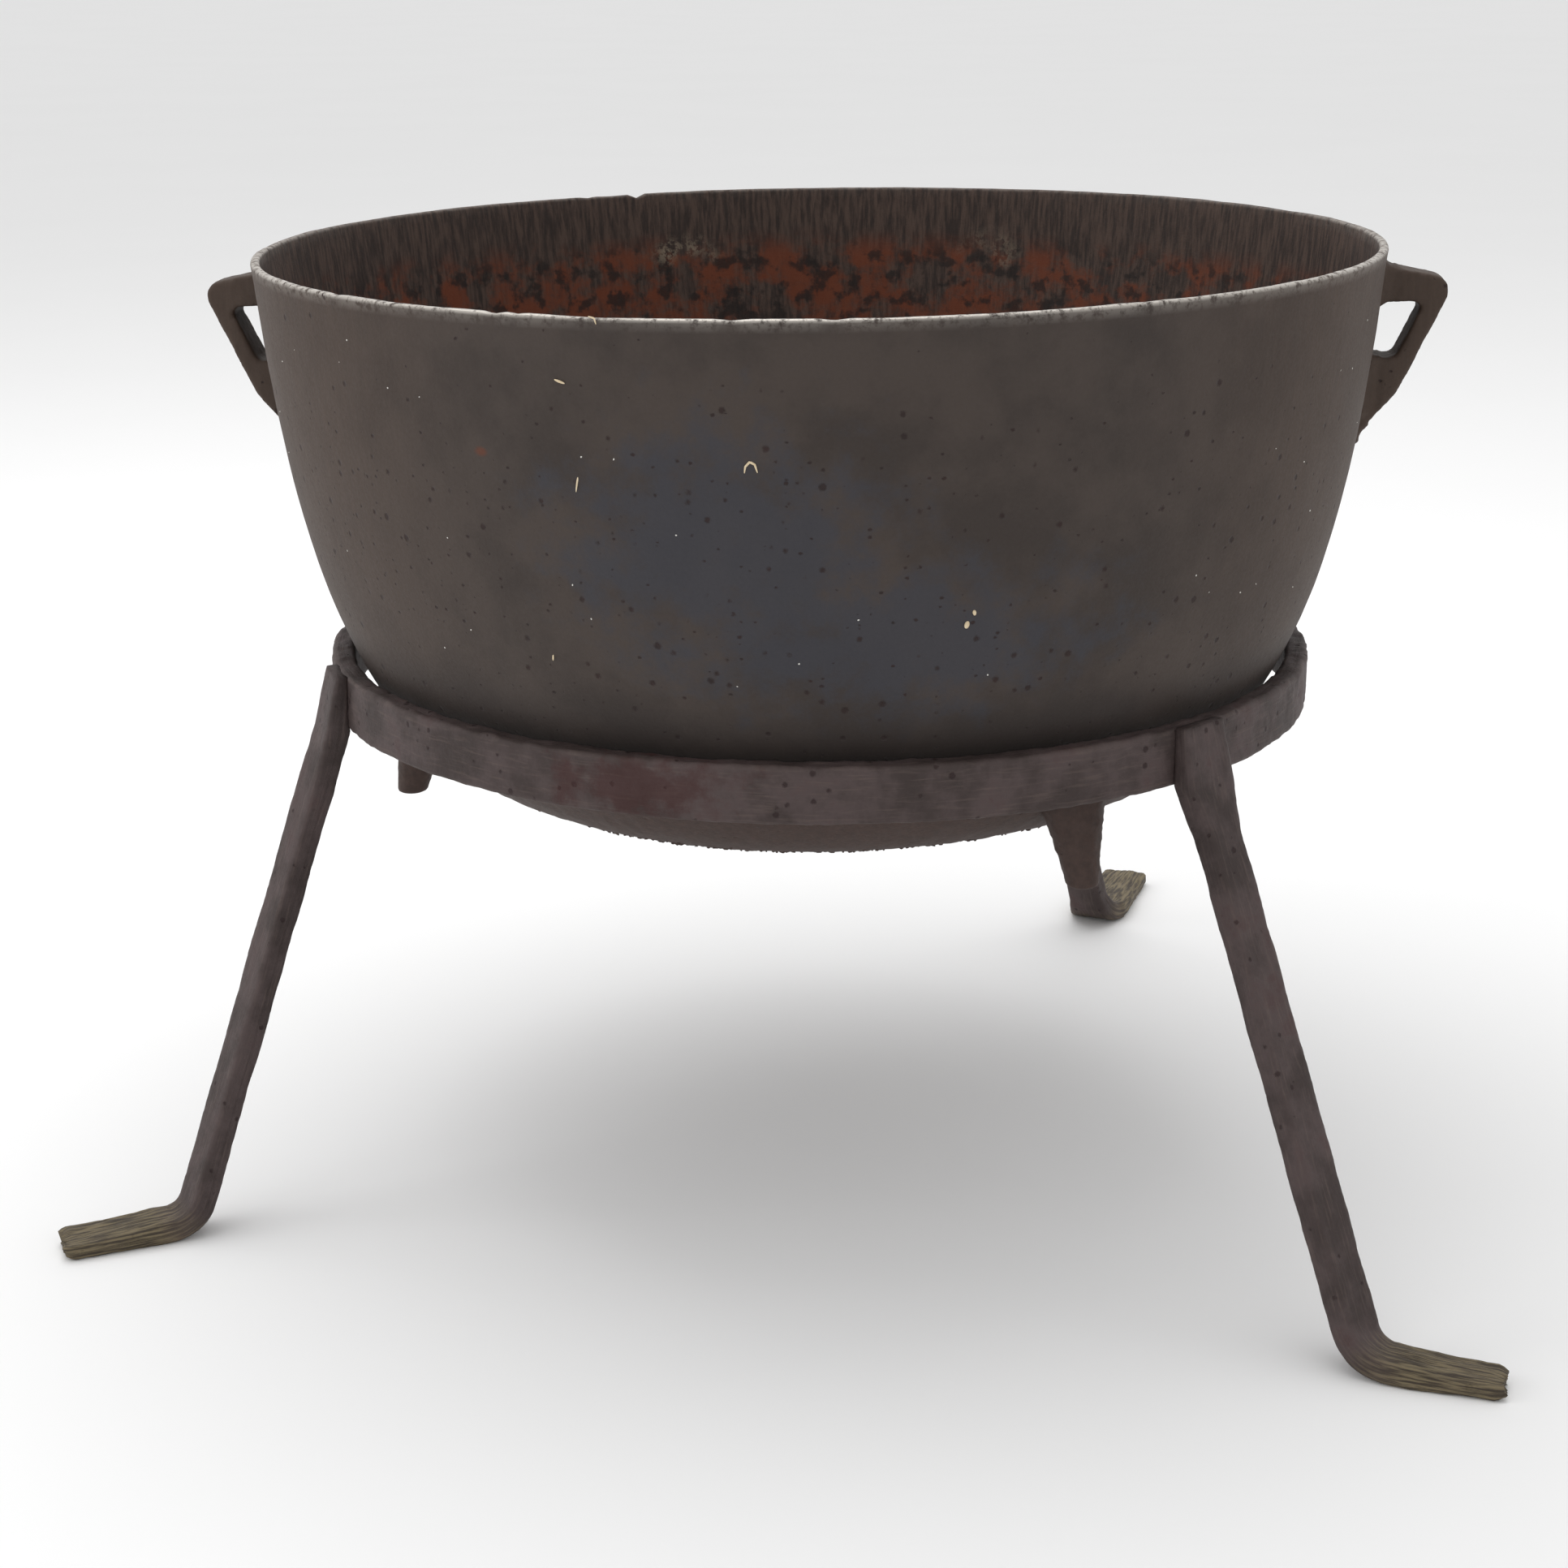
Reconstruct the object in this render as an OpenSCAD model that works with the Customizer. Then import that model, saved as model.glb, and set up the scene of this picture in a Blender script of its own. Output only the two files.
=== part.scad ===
// Cast iron cauldron resting in a forged three-legged ring stand. Millimetres, +Z up, floor at z = 0.
// The pot is one casting: a flared bowl with two looped ears under the rim and three stub feet.
// The stand is a hoop of flat bar with three bar legs lapped and welded to its outside.

/* [Pot] */
// Outside diameter of the pot at its rim
rim_d = 580; // [500:2:640]
// Depth of the pot outside, from rim to bottom
pot_depth = 287; // [260:1:320]
// How much the wall would draw in from rim to bottom if it ran straight
flare = 28.5; // [16:0.5:36]
// Roundness of the belly: higher keeps the wall straight for longer
belly = 2.9; // [2.2:0.1:3.6]
// Roundness of the bottom: higher makes a tighter turn and a flatter bottom
knuckle = 5.3; // [3.6:0.1:6]
// Thickness of the wall at the rim
wall = 4.5; // [3.5:0.5:7]
// Thickness of the bottom
base_wall = 7; // [5:0.5:10]
// Radius on both edges of the lip
lip_round = 1.6; // [0.6:0.1:1.7]

/* [Ears] */
// Direction of the right ear, from the X axis
ear_azimuth = -4; // [-12:1:12]
// Width of an ear along the wall, at its roots
ear_root_w = 26; // [20:1:34]
// Width of an ear along the wall, at its corner
ear_corner_w = 20; // [14:1:20]
// Top of the ear below the rim, at the wall
ear_drop = 12; // [8:1:18]
// Fall of the ear's top from the wall to its corner
ear_fall = 8; // [4:1:12]
// Reach of the ear's corner beyond the rim, before it is rounded
ear_reach = 36; // [30:1:44]
// Thickness of the ear's top bar at the corner
ear_bar = 11; // [9:1:16]
// Thickness of the ear's slanting strap
ear_strap = 9.5; // [7:0.5:12]
// Depth of the strap's elbow below the rim
elbow_down = 78; // [70:1:86]
// Distance of the strap's elbow outside the rim
elbow_out = 8; // [5:1:12]
// Depth of the ear's lower root below the rim
root_down = 103; // [98:1:112]
// Rounding of the ear's outer corner
ear_round = 8; // [4:1:12]
// Rounding of the strap's elbow
elbow_round = 24; // [12:1:30]
// Rounding inside the eye
eye_round = 3.5; // [1.5:0.5:6]

/* [Pot feet] */
// Distance of each stub foot's tip inside the pot's wall at the ring
stub_in = 21.6; // [16:0.1:40]
// Distance that a stub foot's tip stands below the pot's bottom
stub_stand = 3; // [1:1:16]
// Diameter of a stub foot at its tip
stub_tip_d = 16; // [12:1:20]
// Diameter of a stub foot where it meets the bowl
stub_root_d = 40; // [24:1:44]
// Outward lean of a stub foot
stub_lean = 13; // [0:1:16]
// Direction of the left stub foot
stub_azimuth = 184; // [170:1:190]

/* [Ring] */
// Height of the ring's top above the floor
ring_height = 280; // [240:1:320]
// Depth below the rim at which the pot sits in the ring
seat_drop = 207; // [195:1:215]
// Height of the flat bar that the ring is bent from
ring_band = 28; // [22:1:36]
// Thickness of the ring's bar
ring_bar = 11.5; // [9:0.5:16]
// Worn edge of the ring's bar
ring_edge = 2; // [0.5:0.5:3]
// Worn edge of the ring's bar at the top inside, where the pot rests
seat_edge = 0.5; // [0.2:0.1:2]
// Gap between the ring and the pot where they are closest
seat_gap = 0.3; // [0.2:0.1:1]
// How far the loose pot sits to the right of the ring's middle
pot_shift = 1.7; // [0:0.1:4]

/* [Legs] */
// Direction of the left leg's heel, from the X axis
left_azimuth = 205.5; // [195:0.5:215]
// Direction of the right leg's heel
right_azimuth = 309.5; // [300:0.5:320]
// Direction of the back leg's heel
back_azimuth = 60; // [50:0.5:75]
// Direction in which the left leg is welded to the ring
left_weld_azimuth = 199; // [190:0.5:210]
// Direction in which the right leg is welded to the ring
right_weld_azimuth = 314; // [300:0.5:322]
// Direction in which the back leg is welded to the ring
back_weld_azimuth = 62; // [50:0.5:75]
// Direction in which the left leg's shank faces, twisted a little out of the weld's
left_face_azimuth = 211; // [195:1:220]
// Direction in which the right leg's shank faces
right_face_azimuth = 312; // [300:1:325]
// Direction in which the back leg's shank faces
back_face_azimuth = 64; // [50:1:80]
// Distance of the left leg's heel outside the ring
left_splay = 101; // [86:1:131]
// Distance of the right leg's heel outside the ring
right_splay = 137; // [111:1:151]
// Distance of the back leg's heel outside the ring
back_splay = 103; // [91:1:151]
// Length of the left foot, from heel to toe
left_foot = 66; // [50:1:80]
// Length of the right foot
right_foot = 65; // [50:1:80]
// Length of the back foot
back_foot = 92; // [50:1:100]
// Turn of the left foot out of the heel's direction
left_twist_angle = -4; // [-10:1:20]
// Turn of the right foot, which was bent sideways
right_twist_angle = 32; // [0:1:36]
// Turn of the back foot
back_twist_angle = 10; // [-10:1:20]
// Bend radius of the left heel
left_bend = 18; // [14:1:26]
// Bend radius of the right heel
right_bend = 22; // [16:1:30]
// Bend radius of the back heel
back_bend = 22; // [16:1:30]
// Width of a leg's bar
leg_w = 23; // [18:0.5:26]
// Thickness of a leg's bar
leg_t = 12.5; // [10:0.5:15]
// Width of the left leg at its heel
left_heel_w = 24; // [18:0.5:40]
// Width of the right leg at its heel
right_heel_w = 25; // [18:0.5:40]
// Width of the back leg at its heel, where it was spread
back_heel_w = 36; // [18:0.5:40]
// Width of the left foot at its toe
left_toe_w = 27; // [16:0.5:30]
// Width of the right foot at its toe
right_toe_w = 22; // [16:0.5:30]
// Width of the back foot at its toe
back_toe_w = 30; // [16:0.5:34]
// Thickness of a foot at its toe, where it was hammered thin
toe_t = 8.5; // [6:0.5:9.5]
// Width of the scarf at the top of a leg, where it was upset for the weld
scarf_w = 33; // [26:1:40]
// Thickness of the scarf at the ring's top, from which it swells to the bar's
scarf_t = 5; // [3:0.5:8]
// Length over which the scarf narrows to the bar, below the ring
scarf_run = 26; // [16:1:40]
// Worn edge of the leg's bar
leg_edge = 1.5; // [0.5:0.5:3]

/* [Hidden] */
cast_iron = [0.20, 0.17, 0.15];
wrought_iron = [0.26, 0.20, 0.18];
true_curve = 180;
profile_steps = 36;
fillet_steps = 6;
bend_steps = 8;
foot_steps = 4;
past = 1;  // overrun of a cut past the face that it cuts
bar_sides = 8;
third = 360 / 3;

rim_r = rim_d / 2;
rim_z = ring_height + seat_drop;
ring_in_r = pot_r(seat_drop) + seat_gap + pot_shift;
ring_out_r = ring_in_r + ring_bar;

// Plain geometry
function unit(v) = v / norm(v);
function heading(a) = [cos(a), sin(a), 0];
function flatten(lists) = [for (l = lists) each l];
function column(points, k) = [for (p = points) p[k]];
// Corner b between a and c, rounded to radius r
function fillet(a, b, c, r) =
    let (to_a = unit(a - b), to_c = unit(c - b), half = acos(to_a * to_c) / 2,
         centre = b + unit(to_a + to_c) * r / sin(half),
         first = b + to_a * r / tan(half) - centre,
         last = b + to_c * r / tan(half) - centre)
    [for (k = [0 : fillet_steps])
        centre + r * unit(first * (1 - k / fillet_steps) + last * k / fillet_steps)];

// Pot: one curve gives the outside and, drawn in by the wall, the inside
function pot_r(depth) =
    let (t = depth / pot_depth)
    (rim_r - flare * t) * pow(1 - pow(t, belly), 1 / knuckle);
function pot_curve(top_r, depth) =
    [for (i = [0 : profile_steps])
        let (a = 90 * i / profile_steps, t = pow(sin(a), 2 / belly))
        [(top_r - flare * t) * pow(cos(a), 2 / knuckle), -depth * t]];

module pot_outside() {
    translate([0, 0, rim_z])
        rotate_extrude($fn = true_curve)
            polygon(concat([[0, 0]], pot_curve(rim_r, pot_depth)));
}

module bowl() {
    outer = pot_curve(rim_r, pot_depth);
    inner = pot_curve(rim_r - wall, pot_depth - base_wall);
    lip_out = fillet(outer[1], outer[0], inner[0], lip_round);
    lip_in = fillet(outer[0], inner[0], inner[1], lip_round);
    section = concat(
        [for (i = [profile_steps : -1 : 1]) inner[i]],
        [for (i = [fillet_steps : -1 : 0]) lip_in[i]],
        [for (i = [fillet_steps : -1 : 0]) lip_out[i]],
        [for (i = [1 : profile_steps]) outer[i]]);
    color(cast_iron)
        translate([0, 0, rim_z])
            rotate_extrude($fn = true_curve)
                polygon(section);
}

// Ears: side outline in the radial plane, u outwards from the axis and z from the rim
root_u = rim_r - flare;  // inside the wall, so that the bowl trims both roots
ear_corner = [rim_r + ear_reach, -ear_drop - ear_fall];
ear_elbow = [rim_r + elbow_out, -elbow_down];
strap_run = unit(ear_elbow - ear_corner);
strap_in = [strap_run[1], -strap_run[0]] * ear_strap;
eye_top = -ear_drop - ear_fall - ear_bar;
// Point of the strap's inner face at height z
function strap_u(z) =
    (ear_corner + strap_in)[0] + (z - (ear_corner + strap_in)[1]) * strap_run[0] / strap_run[1];
eye_low = (eye_top - elbow_down) / 2 - ear_strap / 2;
ear_outline = concat(
    [[root_u, -ear_drop]],
    fillet([root_u, -ear_drop], ear_corner, ear_elbow, ear_round),
    fillet(ear_corner, ear_elbow, [pot_r(root_down), -root_down], elbow_round),
    [[pot_r(root_down), -root_down], [root_u, -root_down]]);
eye_outline = concat(
    [[root_u - past, eye_top]],
    fillet([root_u, eye_top], [strap_u(eye_top), eye_top], [strap_u(eye_low), eye_low], eye_round),
    fillet([strap_u(eye_top), eye_top], [strap_u(eye_low), eye_low], [root_u, eye_low], eye_round),
    [[root_u - past, eye_low]]);
// Plan outline: an ear narrows from its roots to its tip
ear_tip = max(column(ear_outline, 0));
ear_plan = [[root_u - past, ear_root_w / 2], [rim_r, ear_root_w / 2],
            [ear_tip, ear_corner_w / 2], [ear_tip + past, ear_corner_w / 2],
            [ear_tip + past, -ear_corner_w / 2], [ear_tip, -ear_corner_w / 2],
            [rim_r, -ear_root_w / 2], [root_u - past, -ear_root_w / 2]];

module ear(turn) {
    color(cast_iron)
        difference() {
            rotate([0, 0, turn])
                translate([0, 0, rim_z])
                    intersection() {
                        rotate([90, 0, 0])
                            linear_extrude(height = ear_root_w, center = true)
                                difference() {
                                    polygon(ear_outline);
                                    polygon(eye_outline);
                                }
                        translate([0, 0, -root_down - past])
                            linear_extrude(height = root_down + 2 * past)
                                polygon(ear_plan);
                    }
            pot_outside();
        }
}

module ear_right() ear(ear_azimuth);
module ear_left() ear(ear_azimuth + 180);

// Stub feet: drafted pegs that lean out, flat at the tip where the pot stands when lifted off
stub_r = pot_r(seat_drop) - stub_in;
stub_z = rim_z - pot_depth - stub_stand;
stub_top = rim_z - seat_drop - ring_band;
stub_len = (stub_top - stub_z) / cos(stub_lean);

module pot_foot(turn) {
    toe_cut = stub_tip_d * sin(stub_lean) + past;
    color(cast_iron)
        difference() {
            rotate([0, 0, turn])
                translate([stub_r, 0, stub_z])
                    rotate([0, -stub_lean, 0])
                        translate([0, 0, -toe_cut])
                            cylinder(h = stub_len + toe_cut, d1 = stub_tip_d, d2 = stub_root_d,
                                     $fn = true_curve);
            translate([-rim_d, -rim_d, stub_z - 2 * toe_cut])
                cube([2 * rim_d, 2 * rim_d, 2 * toe_cut]);
            pot_outside();
        }
}

module pot_foot_left() pot_foot(stub_azimuth);
module pot_foot_right() pot_foot(stub_azimuth + third);
module pot_foot_back() pot_foot(stub_azimuth + 2 * third);

// Ring: flat bar on edge, bent to a hoop
module stand_ring() {
    color(wrought_iron)
        translate([0, 0, ring_height - ring_band])
            rotate_extrude($fn = true_curve)
                polygon([
                    [ring_in_r + ring_edge, 0], [ring_out_r - ring_edge, 0],
                    [ring_out_r, ring_edge], [ring_out_r, ring_band - ring_edge],
                    [ring_out_r - ring_edge, ring_band], [ring_in_r + seat_edge, ring_band],
                    [ring_in_r, ring_band - seat_edge], [ring_in_r, ring_edge]]);
}

// Legs: a chamfered bar carried along a straight shank, a heel bend and a flat foot
// Each leg is [weld direction, face direction, heel point, foot direction, foot length, widths, bend]
function leg_spec(weld, face, azimuth, splay, twist, foot, heel_w, toe_w, bend) =
    [weld, face, heading(azimuth) * (ring_out_r + splay) + [0, 0, leg_t / 2],
     azimuth + twist, foot, [heel_w, toe_w], bend];
left = leg_spec(left_weld_azimuth, left_face_azimuth, left_azimuth, left_splay,
                left_twist_angle, left_foot, left_heel_w, left_toe_w, left_bend);
right = leg_spec(right_weld_azimuth, right_face_azimuth, right_azimuth, right_splay,
                 right_twist_angle, right_foot, right_heel_w, right_toe_w, right_bend);
back = leg_spec(back_weld_azimuth, back_face_azimuth, back_azimuth, back_splay,
                back_twist_angle, back_foot, back_heel_w, back_toe_w, back_bend);

// The bar's side, square to its run and as near as can be to a level direction
function side_of(run, level) = unit(level - run * (level * run));
// Station of the bar: [centre, run, side, width, thickness]
function leg_stations(leg) =
    let (heel = leg[2], out = heading(leg[3]), foot = leg[4],
         heel_w = leg[5][0], toe_w = leg[5][1], bend = leg[6],
         side_weld = heading(leg[0] + 90), side_face = heading(leg[1] + 90),
         side_foot = heading(leg[3] + 90),
         top = heading(leg[0]) * (ring_out_r + (scarf_t - past) / 2) + [0, 0, ring_height + past],
         lap_end = heading(leg[0]) * (ring_out_r + (leg_t - past) / 2)
                   + [0, 0, ring_height - ring_band - past],
         down = unit(heel - lap_end),
         half = acos(-down * out) / 2, back_off = bend / tan(half),
         centre = heel + unit(out - down) * bend / sin(half),
         neck = lap_end + down * scarf_run, first = heel - down * back_off,
         last = heel + out * back_off)
    concat(
        [[top, [0, 0, -1], side_weld, scarf_w, scarf_t + past],
         [lap_end, [0, 0, -1], side_weld, scarf_w, leg_t + past],
         [neck, down, side_of(down, side_face), leg_w, leg_t],
         [first, down, side_of(down, side_face), leg_w, leg_t]],
        [for (k = [1 : bend_steps])
            let (s = k / bend_steps, arm = unit((first - centre) * (1 - s) + (last - centre) * s),
                 run = unit(down * (1 - s) + out * s))
            [centre + arm * bend, run, side_of(run, side_face * (1 - s) + side_foot * s),
             leg_w + (heel_w - leg_w) * s, leg_t]],
        [for (k = [1 : foot_steps])
            let (s = k / foot_steps, thin = leg_t + (toe_t - leg_t) * sin(90 * s))
            [[last[0], last[1], thin / 2] + out * (foot - back_off) * s, out, side_foot,
             heel_w + (toe_w - heel_w) * s, thin]]);
// Corners of the bar at a station, one for each of its sides
function corners(s) =
    let (across = s[2], through = cross(s[1], across),
         w = s[3] / 2, t = s[4] / 2, e = leg_edge)
    [for (q = [[w - e, t], [w, t - e], [w, e - t], [w - e, -t],
               [e - w, -t], [-w, e - t], [-w, t - e], [e - w, t]])
        s[0] + across * q[0] + through * q[1]];

module swept_bar(stations) {
    n = len(stations);
    points = flatten([for (s = stations) corners(s)]);
    function at(i, k) = bar_sides * i + k % bar_sides;
    sides = [for (i = [0 : n - 2], k = [0 : bar_sides - 1])
        [at(i, k), at(i, k + 1), at(i + 1, k + 1), at(i + 1, k)]];
    polyhedron(points, concat([[for (k = [bar_sides - 1 : -1 : 0]) at(0, k)]], sides,
                              [[for (k = [0 : bar_sides - 1]) at(n - 1, k)]]), convexity = 4);
}

module leg(spec) {
    color(wrought_iron)
        difference() {
            swept_bar(leg_stations(spec));
            cylinder(r = ring_out_r, h = ring_height + 2 * past, $fn = true_curve);
            translate([-rim_d, -rim_d, ring_height])
                cube([2 * rim_d, 2 * rim_d, 2 * ring_band]);
        }
}

module leg_left() leg(left);
module leg_right() leg(right);
module leg_back() leg(back);

// The origin is the middle of the footprint, so everything is moved off the ring's axis
reach = concat(
    [for (l = [left, right, back]) each flatten([for (s = leg_stations(l)) corners(s)])],
    [for (a = [ear_azimuth, ear_azimuth + 180], side = [-1, 1])
        heading(a) * ear_tip + heading(a + 90) * side * ear_corner_w / 2 + [pot_shift, 0, 0]]);
stand_at = -[(min(column(reach, 0)) + max(column(reach, 0))) / 2,
             (min(column(reach, 1)) + max(column(reach, 1))) / 2, 0];
pot_at = stand_at + [pot_shift, 0, 0];

translate(pot_at) bowl();
translate(pot_at) ear_right();
translate(pot_at) ear_left();
translate(pot_at) pot_foot_left();
translate(pot_at) pot_foot_right();
translate(pot_at) pot_foot_back();
translate(stand_at) stand_ring();
translate(stand_at) leg_left();
translate(stand_at) leg_right();
translate(stand_at) leg_back();
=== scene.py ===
# %% [markdown]
# # A cast iron cauldron in its ring stand
#
# The object is two things that come apart: a round pot, cast in one with its two ears and three stub feet,
# and a forged stand, a hoop of flat bar with three legs welded to it. The frame already holds every piece at
# its real size. This notebook gives each piece the surface that sand, hammer, fire and weather left on it.
#
# Lengths are in metres. `mm` turns a size on a drawing into metres.

# %% The frame, and the room that the object takes
import math

import bmesh
import bpy
import numpy as np
from mathutils import Matrix, Vector, noise


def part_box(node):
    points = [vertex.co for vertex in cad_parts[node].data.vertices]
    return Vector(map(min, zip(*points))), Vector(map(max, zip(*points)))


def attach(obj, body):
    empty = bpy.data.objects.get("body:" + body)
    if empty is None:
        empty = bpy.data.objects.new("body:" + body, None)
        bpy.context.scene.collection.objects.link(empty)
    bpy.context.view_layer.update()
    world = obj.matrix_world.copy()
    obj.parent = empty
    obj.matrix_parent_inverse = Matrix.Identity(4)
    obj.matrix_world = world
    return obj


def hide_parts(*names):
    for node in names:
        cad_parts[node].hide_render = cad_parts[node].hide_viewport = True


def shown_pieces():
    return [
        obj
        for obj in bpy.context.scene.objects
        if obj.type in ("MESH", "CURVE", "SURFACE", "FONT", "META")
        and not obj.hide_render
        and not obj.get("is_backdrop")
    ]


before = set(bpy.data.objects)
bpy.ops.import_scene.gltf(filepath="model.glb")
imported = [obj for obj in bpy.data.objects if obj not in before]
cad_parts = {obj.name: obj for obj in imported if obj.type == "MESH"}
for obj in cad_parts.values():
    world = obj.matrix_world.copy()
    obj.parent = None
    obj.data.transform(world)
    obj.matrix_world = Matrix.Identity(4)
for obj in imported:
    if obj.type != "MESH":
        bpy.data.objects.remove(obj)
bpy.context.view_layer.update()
mm = 0.001

# %% [markdown]
# ## Sizes
#
# The pot's axis, the rim and the ring are read from the frame, so every later cell starts from them. The
# few sizes that a box can't tell, such as the roundness of the belly, are named here once.

# %% Sizes of the pot and the ring
bowl_low, bowl_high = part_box("bowl")
ring_low, ring_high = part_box("stand_ring")
pot_axis = Vector(((bowl_low.x + bowl_high.x) / 2, (bowl_low.y + bowl_high.y) / 2, 0))
stand_axis = Vector(((ring_low.x + ring_high.x) / 2, (ring_low.y + ring_high.y) / 2, 0))
RIM_R = (bowl_high.x - bowl_low.x) / 2
RIM_Z = bowl_high.z
POT_DEPTH = RIM_Z - bowl_low.z
RING_R = (ring_high.x - ring_low.x) / 2
RING_TOP = ring_high.z
RING_BAND = ring_high.z - ring_low.z
RING_BAR = 11.5 * mm
FLARE = 28.5 * mm
BELLY = 2.9
KNUCKLE = 5.3
WALL = 4.5 * mm
BASE_WALL = 7 * mm
POT_TILT = 0.45
RING_TILT = -0.25
print(f"rim {2 * RIM_R / mm:.0f} mm across at {RIM_Z / mm:.0f} mm, ring {2 * RING_R / mm:.0f} mm at {RING_TOP / mm:.0f} mm")

# %% [markdown]
# ## Camera, floor and light
#
# The photograph was taken from a little above the rim with a long lens. The camera stands where the rim's
# ellipse, the ring and the feet say that it stood, so it keeps the picture's perspective. Light in a white
# tent comes from everywhere: an even sky, one large soft lamp overhead, and a pale floor that throws light
# back up under the belly.

# %% Camera
PHOTO_PX = 1932
LENS_PX = 3596.9
SENSOR = 36
CAMERA_BACK = 1.5277
CAMERA_UP = 0.1719
CAMERA_PITCH, CAMERA_YAW, CAMERA_ROLL = 0.2958, -0.0139, 0.0076


def camera_axes(pitch, yaw, roll):
    """Right, up and back of a camera that looks along +Y, turned by these angles in radians."""
    level = Vector((math.cos(yaw), -math.sin(yaw), 0))
    forward = Vector((math.cos(pitch) * math.sin(yaw), math.cos(pitch) * math.cos(yaw), -math.sin(pitch)))
    top = level.cross(forward)
    right = math.cos(roll) * level - math.sin(roll) * top
    up = math.sin(roll) * level + math.cos(roll) * top
    return Matrix((right, up, -forward)).transposed()


scene = bpy.context.scene
camera = bpy.data.objects.new("camera", bpy.data.cameras.new("camera"))
camera.data.sensor_width = SENSOR
camera.data.lens = LENS_PX / PHOTO_PX * SENSOR
camera.matrix_world = Matrix.Translation(pot_axis + Vector((0, -CAMERA_BACK, RIM_Z + CAMERA_UP))) \
    @ camera_axes(CAMERA_PITCH, CAMERA_YAW, CAMERA_ROLL).to_4x4()
scene.collection.objects.link(camera)
scene.camera = camera
print(f"camera: {camera.data.lens:.1f} mm lens, {CAMERA_BACK:.2f} m in front of the pot")

# %% Floor, sky and lamps
FLOOR_HALF = 40
SKY = 0.85


def lamp(name, place, aim, size, watts):
    """A square soft box at a place, turned towards a point."""
    made = bpy.data.objects.new(name, bpy.data.lights.new(name, "AREA"))
    made.data.size = size
    made.data.energy = watts
    made.location = place
    made.rotation_euler = (Vector(aim) - Vector(place)).to_track_quat("-Z", "Y").to_euler()
    scene.collection.objects.link(made)
    return made


floor_mesh = bpy.data.meshes.new("floor")
floor_mesh.from_pydata([(-FLOOR_HALF, -FLOOR_HALF, 0), (FLOOR_HALF, -FLOOR_HALF, 0),
                        (FLOOR_HALF, FLOOR_HALF, 0), (-FLOOR_HALF, FLOOR_HALF, 0)], [], [(0, 1, 2, 3)])
floor = bpy.data.objects.new("floor", floor_mesh)
scene.collection.objects.link(floor)
floor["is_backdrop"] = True
scene.world = bpy.data.worlds.new("sky")
scene.world.use_nodes = True
scene.world.node_tree.nodes["Background"].inputs["Color"].default_value = (1, 1, 1, 1)
scene.world.node_tree.nodes["Background"].inputs["Strength"].default_value = SKY
scene.view_settings.view_transform = "Standard"
lamp("overhead", (-0.3, 0.6, 2.6), (0, 0, 0.3), 2.4, 34)
lamp("left", (-2.4, -0.6, 1.3), (0, 0, 0.3), 1.2, 9)
print("sky, floor and 2 lamps")

# %% [markdown]
# ## Helpers for shapes
#
# Most pieces are lofts: rings of points, one after the other, with a skin of quads between them. Writing the
# rings as arrays keeps the rules visible, such as the pot's profile or a bar that turns at its heel. After
# that, real surfaces need disorder. `lumps` gives smooth noise at any points, and `swell` moves each point
# along its normal, as a hammer, a sand mould or rust would.

# %% Lofts
def unit(v):
    v = np.asarray(v, float)
    return v / np.linalg.norm(v, axis=-1, keepdims=True)


def heading(degrees):
    return np.array([math.cos(math.radians(degrees)), math.sin(math.radians(degrees)), 0])


def piece(name, points, faces):
    """A mesh object at the origin, smooth, with the faces that it is given."""
    mesh = bpy.data.meshes.new(name)
    mesh.from_pydata(np.asarray(points).tolist(), [], faces)
    made = bpy.data.objects.new(name, mesh)
    scene.collection.objects.link(made)
    mesh.shade_smooth()
    return made


def loft(name, rings):
    """A closed skin over rings of points, with a pole in the middle of the first and the last ring."""
    rings = np.asarray(rings)
    count, around = rings.shape[:2]
    index = np.arange(count * around).reshape(count, around)
    here, after = index[:-1], index[1:]
    quads = np.stack([here, np.roll(here, -1, 1), np.roll(after, -1, 1), after], -1).reshape(-1, 4)
    first, last = index[0], index[-1]
    start = np.stack([np.full(around, count * around), np.roll(first, -1), first], -1)
    end = np.stack([np.full(around, count * around + 1), last, np.roll(last, -1)], -1)
    points = np.vstack([rings.reshape(-1, 3), rings[0].mean(0), rings[-1].mean(0)])
    faces = quads.tolist() + start.tolist() + end.tolist()
    corner = points[quads]
    volume = np.einsum("ij,ij->", corner[:, 0], np.cross(corner[:, 1], corner[:, 2]))
    volume += np.einsum("ij,ij->", corner[:, 0], np.cross(corner[:, 2], corner[:, 3]))
    if volume < 0:
        faces = [face[::-1] for face in faces]
    return piece(name, points, faces)


def even(curve, count, closed=False):
    """The same curve, with that many points at equal distances."""
    curve = np.asarray(curve, float)
    if closed:
        curve = np.vstack([curve, curve[:1]])
    along = np.concatenate([[0], np.cumsum(np.linalg.norm(np.diff(curve, axis=0), axis=1))])
    want = np.linspace(0, along[-1], count + 1)[:-1] if closed else np.linspace(0, along[-1], count)
    return np.stack([np.interp(want, along, curve[:, k]) for k in range(curve.shape[1])], -1)


# %% Disorder
def spots(made):
    """The points of a piece, as an array."""
    points = np.empty(3 * len(made.data.vertices))
    made.data.vertices.foreach_get("co", points)
    return points.reshape(-1, 3)


def reshape(made, points):
    made.data.vertices.foreach_set("co", np.ravel(points))
    made.data.update()


def lumps(points, size, octaves=2, seed=0):
    """Smooth noise, about -1 to 1, with lumps of that size: one number, or one for each axis."""
    shifted = np.asarray(points) / size + 17.3 * seed
    return np.array([noise.fractal(p, 1.0, 2.0, octaves) for p in shifted.tolist()])


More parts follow.
